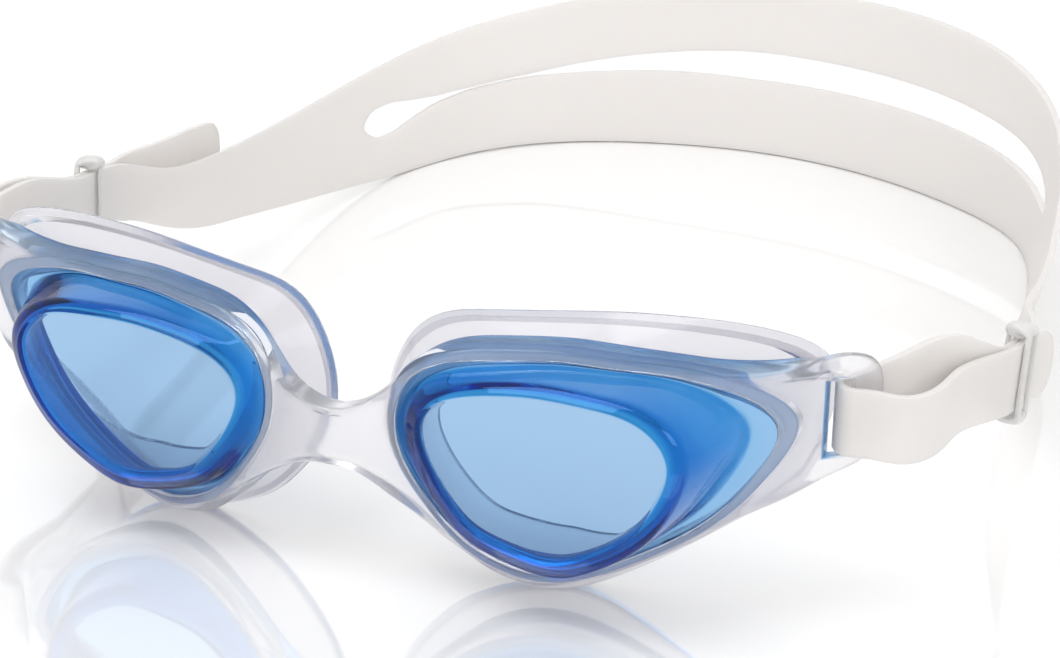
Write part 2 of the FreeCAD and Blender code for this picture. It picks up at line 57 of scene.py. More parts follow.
# %% [markdown]
# ## One set of measures
# Places are in millimetres, as a mould maker draws them: X from the nose, Y from the
# window plane towards the back of the head, Z up from the table. One function moves a
# shape to the model's own frame, in metres.

# %% Where the drawing's zero lies in the model
FRAME_LOW, FRAME_HIGH = (np.array(corner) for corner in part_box("frame"))
LENS_LOW = np.array(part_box("lens_left")[0])
WINDOW_LEAN_FRONT = 0.82        # the window's lower edge stands this far in front of Y = 0
ORIGIN = np.array([(FRAME_LOW[0] + FRAME_HIGH[0]) / 2 * 1000,
                   LENS_LOW[1] * 1000 + WINDOW_LEAN_FRONT, 0.0])


def to_model(points):
    """Drawing millimetres to model metres: add the zero's place, then divide by 1000."""
    return (np.asarray(points, float) + ORIGIN) / 1000


print("drawing zero at", ORIGIN.round(2), "mm")

# %% [markdown]
# ## Smooth curves
# Every outline passes through a few chosen points, by a cubic curve with continuous
# bending, as a spline ruler draws through nails. It has no kinks that a glossy wall
# would show, and it is found by one small set of linear equations.

# %% A spline through points
def spline(knots, values, places, period=None):
    """Cubic pieces between the knots. The slopes m solve m0/h0 + 2 m1 (1/h0 + 1/h1) + m2/h1
    = 3 (rise0/h0^2 + rise1/h1^2), which makes the bending continuous. A closed curve is
    the same with its knots written out three times, one period apart."""
    knots, values = np.asarray(knots, float), np.asarray(values, float)
    if period:
        knots = np.concatenate([knots - period, knots, knots + period])
        values = np.concatenate([values, values, values])
    values = values.reshape(len(knots), -1)
    step = np.diff(knots)[:, None]
    rise = np.diff(values, axis=0)
    system = np.diag(np.r_[2 / step[0], (2 / step[:-1] + 2 / step[1:])[:, 0], 2 / step[-1]])
    system += np.diag(1 / step[:, 0], 1) + np.diag(1 / step[:, 0], -1)
    pull = 3 * rise / step ** 2
    right_side = np.concatenate([pull[:1], pull[:-1] + pull[1:], pull[-1:]])
    slope = np.linalg.solve(system, right_side)
    places = np.asarray(places, float)
    piece = np.clip(np.searchsorted(knots, places, side="right") - 1, 0, len(step) - 1)
    t = ((places - knots[piece]) / step[piece, 0])[:, None]
    start, end = values[piece], values[piece + 1]
    out, back = slope[piece] * step[piece], slope[piece + 1] * step[piece]
    return (start * (1 + 2 * t) * (1 - t) ** 2 + out * t * (1 - t) ** 2
            + end * t * t * (3 - 2 * t) + back * t * t * (t - 1))


# %% [markdown]
# ## The cup's outlines
# Window, rim and face edge are one family: a rounded triangle, wide at the top and
# towards the temple. Each outline is a share of its own box, so the same thirteen
# directions serve all of them, and a wall between two outlines never twists.

# %% Outlines as shares of their box
DIRECTIONS = [0, 15, 35, 60, 90, 120, 150, 175, 205, 240, 266, 300, 330]
WINDOW_OUTLINE = [(0.93, 0.00), (1.00, 0.42), (0.80, 0.84), (0.38, 0.97), (0.00, 0.98),
                  (-0.36, 0.92), (-0.82, 0.71), (-1.00, 0.26), (-0.72, -0.54),
                  (-0.35, -0.90), (0.00, -1.00), (0.34, -0.88), (0.66, -0.56)]
RIM_OUTLINE = [(0.91, 0.16), (1.00, 0.60), (0.60, 0.90), (0.18, 0.96), (-0.14, 1.00),
               (-0.48, 0.98), (-0.91, 0.80), (-1.00, 0.23), (-0.83, -0.36),
               (-0.53, -0.84), (-0.20, -1.00), (0.25, -0.76), (0.60, -0.41)]
FACE_OUTLINE = [(0.92, 0.16), (1.00, 0.68), (0.75, 0.96), (0.28, 1.00), (-0.10, 0.97),
                (-0.52, 0.91), (-0.87, 0.72), (-1.00, 0.13), (-0.80, -0.50),
                (-0.50, -0.86), (-0.16, -1.00), (0.26, -0.70), (0.59, -0.34)]
ROUND_COUNT = 208               # columns round each eye
TURN = np.arange(ROUND_COUNT) * 360 / ROUND_COUNT
WINDOW, RIM, FACE = (spline(DIRECTIONS, shares, TURN, 360)
                     for shares in (WINDOW_OUTLINE, RIM_OUTLINE, FACE_OUTLINE))
MOUTH = (WINDOW + RIM) / 2

# %% Boxes of the outlines: nose, temple, bottom, top
WRAP, LEAN, SEAL_WRAP = (math.tan(math.radians(angle)) for angle in (13.5, 3.5, 8.5))
NOSE_X, MIDDLE_Z = 9.0, 25.8
TEMPLE_EDGE = 70.5              # where the rim ends and the tab begins
WINDOW_BOX = (15.3, 55.1, 12.45, 39.15)
BEVEL_BOX = (13.0, 57.4, 9.35, 40.65)
MOUTH_BOX = (11.2, 62.8, 7.6, 40.8)
OPENING_BOX = (11.2, 66.6, 6.3, 41.3)
FLANGE_BOX = (10.0, 69.2, 5.0, 42.6)
RIM_BOX = (8.7, TEMPLE_EDGE, 1.5, 43.9)
FACE_BOX = (4.2, 73.4, 0.0, 46.3)
CLEARANCE = 0.12
FLANGE_FRONT, FLANGE_BACK = 2.0, 3.8
FRAME_BACK = 5.8


def ring(shares, box, depth, grow=0.0, wrap=WRAP):
    """An outline on the plane y = depth + wrap (x - NOSE_X) + lean (z - MIDDLE_Z)."""
    nose, temple, bottom, top = box[0] - grow, box[1] + grow, box[2] - grow, box[3] + grow
    x = (nose + temple) / 2 + shares[:, 0] * (temple - nose) / 2
    z = (bottom + top) / 2 + shares[:, 1] * (top - bottom) / 2
    return np.stack([x, depth + wrap * (x - NOSE_X) + LEAN * (z - MIDDLE_Z), z], axis=1)


def smooth_step(value, start, end):
    """0 before start, 1 after end, and 3t^2 - 2t^3 between."""
    t = np.clip((value - start) / (end - start), 0, 1)
    return t * t * (3 - 2 * t)


print("outlines of", ROUND_COUNT, "points each")

# %% [markdown]
# ## From rings to a solid wall
# A moulded wall has no knife edges. The next helper joins rings by straight walls and
# turns each corner into a short curve, with one extra row on each side, so that the
# flat parts shade flat. A second helper turns any grid of points into a mesh.

# %% Rounded walls and meshes from grids
CORNER_STEPS = (0.0, 0.25, 0.5, 0.75, 1.0)


def bend(start, corner, end):
    """The curve (1-t)^2 A + 2 t (1-t) C + t^2 B, as five rows."""
    return [(1 - t) ** 2 * start + 2 * t * (1 - t) * corner + t * t * end for t in CORNER_STEPS]


def rounded(rings, radii, closed=True):
    """Rows through the rings (k x n x 3). A corner with radius r becomes a bend whose ends
    lie r away from it on its two walls."""
    rings = np.asarray(rings, float)
    rows = []
    for number, radius in enumerate(radii):
        corner = rings[number]
        if not closed and number in (0, len(radii) - 1):
            rows.append(corner)
            continue
        ways = rings[number - 1] - corner, rings[(number + 1) % len(rings)] - corner
        lengths = [np.linalg.norm(way, axis=1, keepdims=True) for way in ways]
        reach = [np.minimum(radius, 0.35 * length) / length for length in lengths]
        start, end = (corner + way * share for way, share in zip(ways, reach))
        rows.append(corner + ways[0] * reach[0] * 1.3)
        rows.extend(bend(start, corner, end))
        rows.append(corner + ways[1] * reach[1] * 1.3)
    return np.array(rows)


def ring_numbers(count):
    """For each row that rounded() makes of an open list of rings: which ring it is near."""
    around = (-0.3, -0.2, -0.1, 0.0, 0.1, 0.2, 0.3)
    return np.array([0] + [n + step for n in range(1, count - 1) for step in around] + [count - 1])


def grid_faces(rows, columns, wrap_rows, wrap_columns):
    """Quads between neighbouring points of a grid, as point numbers."""
    number = np.arange(rows * columns).reshape(rows, columns)
    above, beside = np.roll(number, -1, axis=0), np.roll(number, -1, axis=1)
    corner = np.roll(above, -1, axis=1)
    quads = np.stack([number, above, corner, beside], axis=-1)
    quads = quads[:rows if wrap_rows else rows - 1, :columns if wrap_columns else columns - 1]
    return quads.reshape(-1, 4)


def add_mesh(name, points, faces, tint=None):
    """A smooth-shaded object from drawing points and faces, doubles merged, faces outwards.
    A tint is one number per point, for the material to read."""
    mesh = bpy.data.meshes.new(name)
    mesh.from_pydata(to_model(points), [], [tuple(face) for face in faces.tolist()])
    if tint is not None:
        mesh.attributes.new("tint", "FLOAT", "POINT").data.foreach_set("value", tint)
    work = bmesh.new()
    work.from_mesh(mesh)
    bmesh.ops.remove_doubles(work, verts=work.verts, dist=2e-6)
    bmesh.ops.dissolve_degenerate(work, edges=work.edges, dist=1e-7)
    bmesh.ops.recalc_face_normals(work, faces=work.faces)
    if work.calc_volume(signed=True) < 0:
        bmesh.ops.reverse_faces(work, faces=work.faces)
    work.to_mesh(mesh)
    work.free()
    mesh.polygons.foreach_set("use_smooth", np.ones(len(mesh.polygons), bool))
    piece = bpy.data.objects.new(name, mesh)
    bpy.context.collection.objects.link(piece)
    print(name, len(mesh.vertices), "points", len(mesh.polygons), "faces")
    return piece


def torus_piece(name, rows, sign, tint):
    """A closed wall carried once round the eye, as one mesh, with one tint for each row.
    Sign -1 makes it for the other eye."""
    count = rows.shape[:2]
    points = rows.reshape(-1, 3) * [sign, 1, 1]
    return add_mesh(name, points, grid_faces(*count, True, True), np.repeat(tint, count[1]))


# %% [markdown]
# ## Colour and node helpers
# Colours are hex values as picked on screen, and one function turns them to the linear
# values a renderer mixes. One small function adds a node with its settings and links.

# %% Colours and nodes
def linear(code):
    """An sRGB hex colour as linear red, green, blue and alpha: below 0.04045 divide by
    12.92, above it ((c + 0.055) / 1.055) ^ 2.4."""
    parts = [int(code[place:place + 2], 16) / 255 for place in (1, 3, 5)]
    return [c / 12.92 if c <= 0.04045 else ((c + 0.055) / 1.055) ** 2.4 for c in parts] + [1.0]


def add(tree, kind, inputs=None, **settings):
    """A node of that kind: settings go on the node, inputs on its sockets, and an input
    that is another node's output becomes a link."""
    made = tree.nodes.new("ShaderNode" + kind)
    for key, value in settings.items():
        setattr(made, key, value)
    for key, value in (inputs or {}).items():
        if isinstance(value, bpy.types.NodeSocket):
            tree.links.new(value, made.inputs[key])
        else:
            made.inputs[key].default_value = value
    return made


def new_material(name):
    """An empty node material and its tree."""
    material = bpy.data.materials.new(name)
    material.use_nodes = True
    material.node_tree.nodes.clear()
    return material, material.node_tree


def finish_material(tree, surface, volume=None):
    """Joins the shaders to the material's output."""
    output = add(tree, "OutputMaterial", {"Surface": surface})
    if volume is not None:
        tree.links.new(volume, output.inputs["Volume"])


def wear_bump(tree, size_mm, height_mm, strength=1.0, detail=3.0):
    """A noise bump whose features are about size_mm across."""
    place = add(tree, "TexCoord").outputs["Object"]
    noise = add(tree, "TexNoise", {"Vector": place, "Scale": 1000 / size_mm, "Detail": detail})
    return add(tree, "Bump", {"Height": noise.outputs["Fac"], "Distance": height_mm / 1000,
                              "Strength": strength})


# %% [markdown]
# ## Tinted polycarbonate
# The cups are injection-moulded polycarbonate with a blue dye all through it. A dye
# colours light by the length of its path: the thin flat window looks pale blue, and
# the walls seen edge-on look deep blue. So the colour is put in the volume, which
# swallows red first, and the deep blue of the walls is also painted on the surface
# as painted shade; the surface stays very smooth.

# %% Lens material
# painted shade: how a long path through the dye looks, from no extra path (0) to about 10 mm of it (1)
PATH_SHADE_STOPS = [(0.0, "#eeeff1"), (0.3, "#a4d2ee"), (0.62, "#3c98d8"), (0.85, "#1c84cc"),
             (1.0, "#1078be")]


def painted_light_colour(tree, stops):
    """Painted light: the colour for the mesh's tint, a number from 0 to 1 that wavers slowly, by a ramp.
    """
    place = add(tree, "TexCoord").outputs["Object"]
    flow = add(tree, "TexNoise", {"Vector": place, "Scale": 70.0, "Detail": 2.0})
    flow = add(tree, "MapRange", {"Value": flow.outputs["Fac"], "From Min": 0.3, "From Max": 0.7,
                                  "To Min": 0.8, "To Max": 1.15})
    tint = add(tree, "Attribute", attribute_name="tint", attribute_type="GEOMETRY")
    tint = add(tree, "Math", {0: tint.outputs["Fac"], 1: flow.outputs["Result"]},
               operation="MULTIPLY")
    ramp = add(tree, "ValToRGB", {"Fac": tint.outputs[0]})
    while len(ramp.color_ramp.elements) < len(stops):
        ramp.color_ramp.elements.new(0.5)
    for element, (position, code) in zip(ramp.color_ramp.elements, stops):
        element.position, element.color = position, linear(code)
    return ramp.outputs["Color"]


def tinted_polycarbonate():
    """Blue-dyed moulded polycarbonate, IOR 1.585, polished mould: nearly mirror smooth.
    The walls guide light along themselves for about 10 mm, and that long path's deep blue is
    painted on their surfaces as painted shade, by the mesh's tint: 0 for none and 1 for the deepest."""
    material, tree = new_material("blue tinted polycarbonate, moulded and polished")
    # a polished mould still leaves a slow waviness, about 9 mm long
    bump = wear_bump(tree, 9.0, 0.02, 0.25, 1.0)
    surface = add(tree, "BsdfPrincipled", {
        "Base Color": painted_light_colour(tree, PATH_SHADE_STOPS), "Roughness": 0.015, "IOR": 1.585,
        "Specular Tint": (0.25, 0.5, 1.0, 1.0),
        "Transmission Weight": 1.0, "Normal": bump.outputs["Normal"]})
    dye = add(tree, "VolumeAbsorption", {"Color": (0.0, 0.49, 0.865, 1.0), "Density": 410.0})
    finish_material(tree, surface.outputs["BSDF"], dye.outputs["Volume"])
    return material


LENS_MATERIAL = tinted_polycarbonate()
print("material:", LENS_MATERIAL.name)

# %% [markdown]
# ## Eye cups
# Each cup is one hard shell: a flat window, a narrow bevel, a wall that flares back to
# the mouth, and a flat flange that the frame grips. The window is nearer the nose, so
# the wall is low there and long at the temple. One section is carried round the eye,
# from the window's middle on the outside to the same place on the inside.

# %% The two cups
WINDOW_MIDDLE_X, WINDOW_THICKNESS = 35.2, 2.0
BEVEL_FRONT, BEVEL_BACK = 1.5, 3.1
CUP_WALL = 1.6


def cup_rows():
    """Rings from the outer middle of the window, over bevel, wall and flange, to the inner
    middle of the window."""
    middle = np.tile([WINDOW_MIDDLE_X, 0.0, MIDDLE_Z], (ROUND_COUNT, 1))
    inner_middle = middle + [0, WINDOW_THICKNESS, 0]
    rings = [middle,
             ring(WINDOW, WINDOW_BOX, 0.0, wrap=0),
             ring(WINDOW, BEVEL_BOX, BEVEL_FRONT, wrap=0),
             ring(MOUTH, MOUTH_BOX, FLANGE_FRONT),
             ring(RIM, FLANGE_BOX, FLANGE_FRONT),
             ring(RIM, FLANGE_BOX, FLANGE_BACK),
             ring(MOUTH, MOUTH_BOX, FLANGE_BACK, grow=-CUP_WALL),
             ring(WINDOW, BEVEL_BOX, BEVEL_BACK, grow=-CUP_WALL, wrap=0),
             ring(WINDOW, WINDOW_BOX, WINDOW_THICKNESS, grow=-CUP_WALL / 4, wrap=0),
             inner_middle]
    return rounded(rings, (0, 0.35, 0.9, 0.5, 0.3, 0.3, 0.6, 1.2, 0.6, 0), closed=False)


# ring number and painted shade, the deep blue of a long path through the dye: none on the window,
# deepest on the bevel and on the flange's edge
CUP_PAINTED_SHADE = [(0, 0.0), (0.9, 0.0), (1.1, 1.0), (2.0, 1.0), (2.25, 0.8), (2.8, 0.68), (3.1, 0.25),
            (3.7, 0.15), (4.0, 1.0), (5.0, 1.0), (5.3, 0.15), (6.0, 0.25), (6.8, 0.6), (7.2, 0.8),
            (7.9, 0.5), (8.1, 0.0), (9, 0.0)]


def add_cup(name, sign):
    """One cup that replaces its measured solid."""
    rows = cup_rows()
    points = rows.reshape(-1, 3) * [sign, 1, 1]
    # painted shade: the long light path's deep blue laid on each ring of the cup
    tint = np.interp(ring_numbers(10), *np.array(CUP_PAINTED_SHADE).T)
    piece = add_mesh(name, points, grid_faces(*rows.shape[:2], False, True),
                     np.repeat(tint, ROUND_COUNT))
    piece.data.materials.append(LENS_MATERIAL)
    return piece


for side, sign in (("left", 1), ("right", -1)):
    cup = add_cup("cup_" + side, sign)
    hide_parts("lens_" + side)
    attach(cup, "goggles")

# %% [markdown]
# ## Clear liquid silicone
# The seals are clear silicone, about a millimetre thick, moulded in a satin tool. They
# show as a pale grey skirt with one dark line where the eye looks along the edge.

# %% Seal material
def clear_silicone():
    """Clear liquid silicone rubber, IOR 1.41, satin mould: slightly blurred. The mesh's
    tint is 1 where the wall is thin and clearest."""
    material, tree = new_material("clear silicone, satin moulded")
    bump = wear_bump(tree, 1.6, 0.01, 0.3)
    tint = add(tree, "Attribute", attribute_name="tint", attribute_type="GEOMETRY")
    paler = add(tree, "Mix", {0: tint.outputs["Fac"], 6: linear("#e7e6eb"),
                              7: linear("#ffffff")}, data_type="RGBA")
    surface = add(tree, "BsdfPrincipled", {
        "Base Color": paler.outputs[2], "Roughness": 0.14, "IOR": 1.41,
        "Transmission Weight": 0.92, "Normal": bump.outputs["Normal"]})
    haze = add(tree, "VolumeAbsorption", {"Color": (0.45, 0.52, 0.78, 1.0), "Density": 30.0})
    finish_material(tree, surface.outputs["BSDF"], haze.outputs["Volume"])
    return material


SEAL_MATERIAL = clear_silicone()

# %% [markdown]
# ## Face seals
# A seal is a foot behind the rim, a thin skirt that flares back, and an edge that
# turns inwards so that a soft lip lies on the face. It is a closed section too, and
# the skirt bellies out a little halfway, as a soft wall does.

# %% The two seals
SEAL_FOOT, SEAL_FACE = FRAME_BACK + CLEARANCE, 14.2
SEAL_WALL = 1.0
TOE_ROWS = 14                   # the last rows of the section are the toe's


def seal_rows():
    """Rings round the seal's wall: outside from foot to face edge, over the lip, and back
    down the inside."""
    foot, face = SEAL_FOOT, SEAL_FACE
    outer_foot = ring(RIM, RIM_BOX, foot, grow=-1.4)
    outer_face = ring(FACE, FACE_BOX, face, wrap=SEAL_WRAP)
    inner_foot = ring(RIM, RIM_BOX, foot + SEAL_WALL, grow=-2.4)
    inner_face = ring(FACE, FACE_BOX, face - SEAL_WALL, grow=-SEAL_WALL, wrap=SEAL_WRAP)
    lip = ring(FACE, FACE_BOX, face, grow=-2.6, wrap=SEAL_WRAP)
    lip_back = ring(FACE, FACE_BOX, face - 0.55, grow=-2.6, wrap=SEAL_WRAP)
    # the toe reaches in behind the window, at the nose and below
    share = smooth_step(np.cos(np.radians(TURN - 225)), -0.2, 0.75)[:, None]
    toe, toe_back = (ring(RIM, RIM_BOX, depth, grow=-4.4) * (1 - share)
                     + ring(WINDOW, BEVEL_BOX, depth, grow=-3.2) * share
                     for depth in (foot, foot + SEAL_WALL))
    belly = 0.55 * outer_foot + 0.45 * outer_face
    belly_inside = 0.55 * inner_foot + 0.45 * inner_face
    rings = [outer_foot, belly, outer_face, lip, lip_back, inner_face, belly_inside,
             inner_foot, toe_back, toe]
    return rounded(rings, (0.3, 2.0, 0.6, 0.25, 0.25, 0.4, 2.0, 0.4, 0.3, 0.3))


for side, sign in (("left", 1), ("right", -1)):
    wall_rows = seal_rows()
    thin = (np.arange(len(wall_rows)) >= len(wall_rows) - TOE_ROWS) * 1.0
    soft_seal = torus_piece("face_seal_" + side, wall_rows, sign, thin)
    soft_seal.data.materials.append(SEAL_MATERIAL)
    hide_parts("seal_" + side)
    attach(soft_seal, "goggles")

# %% [markdown]
# ## Frosted clear elastomer
# The frame is a clear, slightly flexible moulding that holds both cups. Its gloss is a
# little softer than the cups', and it has a breath of haze in it.

# %% Frame material
# clear at 0; at 1 the painted refraction, the blue of the flange as seen through the walls round it
PAINTED_REFRACTION_STOPS = [(0.0, "#faf9fb"), (0.3, "#b2d2ee"), (0.6, "#5a9edc"), (0.85, "#2a70c8"),
                      (1.0, "#1a54b0")]


def clear_elastomer():
    """Clear thermoplastic polyurethane, IOR 1.50, fine satin on the tool. The groove round
    the blue flange, and the rear edge above it, have the flange's blue painted on: a painted
    refraction of the flange seen through the clear walls."""
    material, tree = new_material("clear polyurethane elastomer, satin moulded")
    bump = wear_bump(tree, 3.0, 0.01, 0.3, 1.0)
    surface = add(tree, "BsdfPrincipled", {
        "Base Color": painted_light_colour(tree, PAINTED_REFRACTION_STOPS), "Roughness": 0.20, "IOR": 1.50,
        "Transmission Weight": 0.84, "Normal": bump.outputs["Normal"]})
    haze = add(tree, "VolumeAbsorption", {"Color": (0.50, 0.56, 0.80, 1.0), "Density": 8.0})
    finish_material(tree, surface.outputs["BSDF"], haze.outputs["Volume"])
    return material


FRAME_MATERIAL = clear_elastomer()

# %% [markdown]
# ## The frame's outline
# Rims, nose bridge and side tabs are one moulding and flow into each other. So each
# half is one ring of columns round the eye: every column starts at the lip round the
# cup and ends on the outline, which runs on to the tab and the middle of the bridge.

# %% Columns and outer outline of half a frame
# direction from the eye in degrees, x and z; it meets the mirror plane at 183 and at 530
FRAME_OUTLINE = [(176, -4.5, 19.9), (183, 0.0, 20.3), (190, 4.5, 19.9), (197, 8.6, 18.2),
                 (204, 12.2, 15.2), (215, 16.4, 10.8), (228, 20.0, 7.6), (240, 23.2, 4.9),
                 (266, 33.4, 1.5), (300, 47.3, 6.6), (330, 58.1, 14.0), (345, 65.0, 19.4),
                 (352, 70.0, 22.9), (357, 74.4, 25.3), (362, 78.0, 27.3), (366, 79.8, 30.4),
                 (371, 80.0, 35.6), (375, 79.7, 41.0), (379, 77.8, 44.1), (384, 73.4, 44.6),
                 (390, 67.4, 43.1), (396, 61.0, 42.3), (408, 52.5, 42.5), (420, 45.2, 43.1),
                 (450, 35.3, 43.9), (480, 24.8, 43.5), (500, 16.4, 41.6), (510, 11.9, 38.0),
                 (517, 8.2, 33.9), (523.5, 4.2, 31.2), (530, 0.0, 30.3), (536.5, -4.2, 31.2)]
EDGE_ROUNDING = 1.1
FREE_TURN = np.concatenate([np.linspace(183, 212, 22)[:-1], np.linspace(212, 344, 74)[:-1],
                            np.linspace(344, 388, 52)[:-1], np.linspace(388, 500, 62)[:-1],
                            np.linspace(500, 530, 26)])
BRIDGE_TURN = np.linspace(530, 543, 10)[1:-1]
FRAME_TURN = np.concatenate([FREE_TURN, BRIDGE_TURN])
TAB_TURN = math.radians(33)
FRAME_MIDDLE_Y = 3.4            # the moulding's middle at the bridge
RIM_HALF = 2.4                  # half the moulding's thickness, and what is taken off it
BRIDGE_THINNER, TAB_THINNER = 0.3, 1.05
BAR_THINNER = 0.5               # the bar leaves the strap's fold room to tilt


def soft_ramp(value, softness):
    """0 far below zero, the value itself far above, and log(1 + e^x) round the bend."""
    return softness * np.logaddexp(0, value / softness)


def frame_depth(x, z):
    """(front, back) of the moulding: a middle surface that is flat at the bridge, turns
    back along the rims and turns more at the tabs, plus and minus half the thickness."""
    on_rim = smooth_step(x, 3, 11) * (1 - smooth_step(x, 66, 72))
    middle = FRAME_MIDDLE_Y + WRAP * soft_ramp(x - NOSE_X, 1.2) + LEAN * (z - MIDDLE_Z) * on_rim
    middle = middle + (math.tan(TAB_TURN) - WRAP) * soft_ramp(x - TEMPLE_EDGE, 0.5)
    half = RIM_HALF - BRIDGE_THINNER * (1 - smooth_step(x, 4, 11)) - TAB_THINNER * smooth_step(x, 67, 73)
    half = half - BAR_THINNER * smooth_step(x, 74, 76)
    return middle - half, middle + half


def outline_and_normals():
    """The outer outline (x, z) with its outward normals, and the drafted front outline:
    smaller by 0.9 mm round the rim, and by 2.9 mm at its lowest."""
    table = np.array(FRAME_OUTLINE)
    free = spline(table[:, 0], table[:, 1:], FREE_TURN)
    free[[0, -1], 0] = 0
    way = spline(table[:, 0], table[:, 1:], FREE_TURN + 0.5)
    way = way - spline(table[:, 0], table[:, 1:], FREE_TURN - 0.5)
    normal = np.stack([way[:, 1], -way[:, 0]], axis=1)
    normal /= np.linalg.norm(normal, axis=1, keepdims=True)
    normal[[0, -1]] = [(0, -1), (0, 1)]
    draft = smooth_step(free[:, 0], 6, 16) * (1 - smooth_step(free[:, 0], 62, 70))
    draft = draft * (0.9 + 2.0 * (1 - smooth_step(free[:, 1], 1, 20)))
    return free, normal, free - normal * draft[:, None]


print("frame columns:", len(FRAME_TURN))

# %% [markdown]
# ## The frame's section
# A column's section is a loop: over the front face, round the outer edge, back over
# the rear face, and through the groove that holds the cup's flange. The tab's slot is
# a window left open in both faces, with a rounded lining put through it.

# %% Build the frame
SLOT_X, SLOT_Z = (73.02, 75.87), (28.4, 40.8)
SLOT_ROUNDING = 0.5
SLOT_TURN = (362.0, 380.5)      # the columns that pass the slot's lower and upper end
SLOT_ROWS = (2, 3)              # the two of the five rows on a face that pass its sides
SLOT_FADE = 13                  # columns over which the rows find their way back
FACE_ROWS = 5                   # rows on each face between lip and edge
GROOVE_FRONT, GROOVE_BACK = FLANGE_FRONT - CLEARANCE, FLANGE_BACK + CLEARANCE
LIP_FRONT = 1.0                 # where the lip in front of the flange begins
BACK_OPENING = 4.6              # how far in from the rim the opening at the back lies


def on_face(outline, face):
    """(x, z) places as points on the moulding's front (0) or back (1)."""
    return np.stack([outline[:, 0], frame_depth(*outline.T)[face], outline[:, 1]], axis=1)


def with_bridge(free, low, high):
    """Adds the columns on the mirror plane, between the bridge's two edges."""
    share = np.linspace(1, 0, len(BRIDGE_TURN) + 2)[1:-1]
    extra = np.stack([0 * share, low + (high - low) * share], axis=1)
    return np.concatenate([free, extra])


def slot_columns():
    """The columns at the slot's lower and upper end."""
    return [int(np.argmin(np.abs(FRAME_TURN - turn))) for turn in SLOT_TURN]


def face_rows(lip, edge):
    """Five rows on a face from lip to edge, as (x, z). Along the slot, the two rows beside
    it run straight up its sides, and they fade back to plain shares past its ends."""
    low, high = slot_columns()
    column = np.arange(len(lip))
    along = np.clip((column - low) / (high - low), 0, 1)
    ends = SLOT_Z[0] - SLOT_ROUNDING, SLOT_Z[1] + SLOT_ROUNDING
    pull = (smooth_step(column, low - SLOT_FADE, low)
            * (1 - smooth_step(column, high, high + SLOT_FADE)))[:, None]
    beside = []
    for share, side in ((0.55, SLOT_X[0] - SLOT_ROUNDING), (0.70, SLOT_X[1] + SLOT_ROUNDING)):
        plain = lip + (edge - lip) * share
        wanted = np.stack([np.full(len(lip), side), ends[0] + (ends[1] - ends[0]) * along], axis=1)
        nearest = plain[np.clip(column, low, high)]
        beside.append(plain + (wanted - nearest) * pull)
    near, far = beside
    return [lip + (near - lip) * 0.4, lip + (near - lip) * 0.73, near, far, (far + edge) / 2]


def half_frame():
    """Points of half the frame (rows x columns x 3), and the slot's first and last column."""
    free, normal, front = outline_and_normals()
    inset = free - normal * EDGE_ROUNDING, front - normal * EDGE_ROUNDING
    back_edge, front_edge = (with_bridge(edge, edge[0, 1], edge[-1, 1]) for edge in inset)
    outer, front_outer = (with_bridge(edge, inset[0][0, 1], inset[0][-1, 1])
                          for edge in (free, front))
    rim, opening = (spline(DIRECTIONS, shares, FRAME_TURN, 360) for shares in
                    (RIM_OUTLINE, np.array(RIM_OUTLINE) * 0.85 + np.array(WINDOW_OUTLINE) * 0.15))
    groove = [ring(opening, OPENING_BOX, LIP_FRONT, grow=CLEARANCE),
              ring(opening, OPENING_BOX, GROOVE_FRONT, grow=CLEARANCE),
              ring(rim, FLANGE_BOX, GROOVE_FRONT, grow=CLEARANCE),
              ring(rim, FLANGE_BOX, GROOVE_BACK, grow=CLEARANCE),
              ring(rim, RIM_BOX, GROOVE_BACK, grow=-BACK_OPENING),
              ring(rim, RIM_BOX, FRAME_BACK, grow=-BACK_OPENING)]
    front_rows = face_rows(groove[0][:, ::2], front_edge)
    back_rows = face_rows(groove[-1][:, ::2], back_edge)
    low, high = slot_columns()
    faces_front = [on_face(row, 0) for row in front_rows]
    faces_back = [on_face(row, 1) for row in back_rows]
    edge_front, edge_back = on_face(front_edge, 0), on_face(back_edge, 1)
    corner_front, corner_back = on_face(front_outer, 0), on_face(outer, 1)
    side = corner_back - corner_front
    side_length = np.linalg.norm(side, axis=1, keepdims=True)
    reach = np.minimum(EDGE_ROUNDING, 0.45 * side_length) / side_length
    inner = rounded([edge_front] + groove + [edge_back], (0, .3, .2, .15, .15, .15, .4, 0),
                    closed=False)
    rows = ([inner[0]] + faces_front[::-1] + list(inner[1:-1]) + faces_back + [inner[-1]]
            + bend(edge_back, corner_back, corner_back - side * reach)[1:]
            + bend(corner_front + side * reach, corner_front, edge_front)[:-1])
    return np.array(rows), (low, high), len(inner)


def slot_loop(rows, one, other, low, high):
    """The slot's edge on a face: up along one row and down along the other."""
    return np.concatenate([rows[one, low:high + 1], rows[other, low:high + 1][::-1]])


def slot_lining(front_loop, back_loop):
    """The slot's wall: from the front face's edge, round into the slot, and out to the back."""
    inwards = front_loop * 1.0
    sides = [np.array(SLOT_X), np.array(SLOT_Z)]
    inwards[:, 0] = np.clip(inwards[:, 0], *sides[0])
    inwards[:, 2] = np.clip(inwards[:, 2], *sides[1])
    depth = frame_depth(inwards[:, 0], inwards[:, 2])
    near, far = inwards.copy(), inwards.copy()
    near[:, 1], far[:, 1] = depth
    sunk, raised = near + [0, SLOT_ROUNDING, 0], far - [0, SLOT_ROUNDING, 0]
    return np.array(bend(front_loop, near, sunk) + bend(raised, far, back_loop))


# row of the section and tint, a painted refraction of the blue flange: the groove round the flange, and
# the rear edge
FRAME_PAINTED_REFRACTION = [(0, 0.05), (12, 0.0), (17, 0.1), (22, 0.2), (24, 0.95), (30, 0.95), (32, 0.2),
              (38, 0.1), (44, 0.0), (51, 0.0), (52, 0.7), (53, 1.1), (56, 1.1), (57, 0.6),
              (58, 0.3), (60, 0.3), (61, 0.1)]


REAR_AFTER_ROW = 47
# painted refraction: the blue seen through the slot's wall that is nearest the eye
SLOT_PAINTED_REFRACTION = 0.8                 # on the slot's wall that is nearest the eye


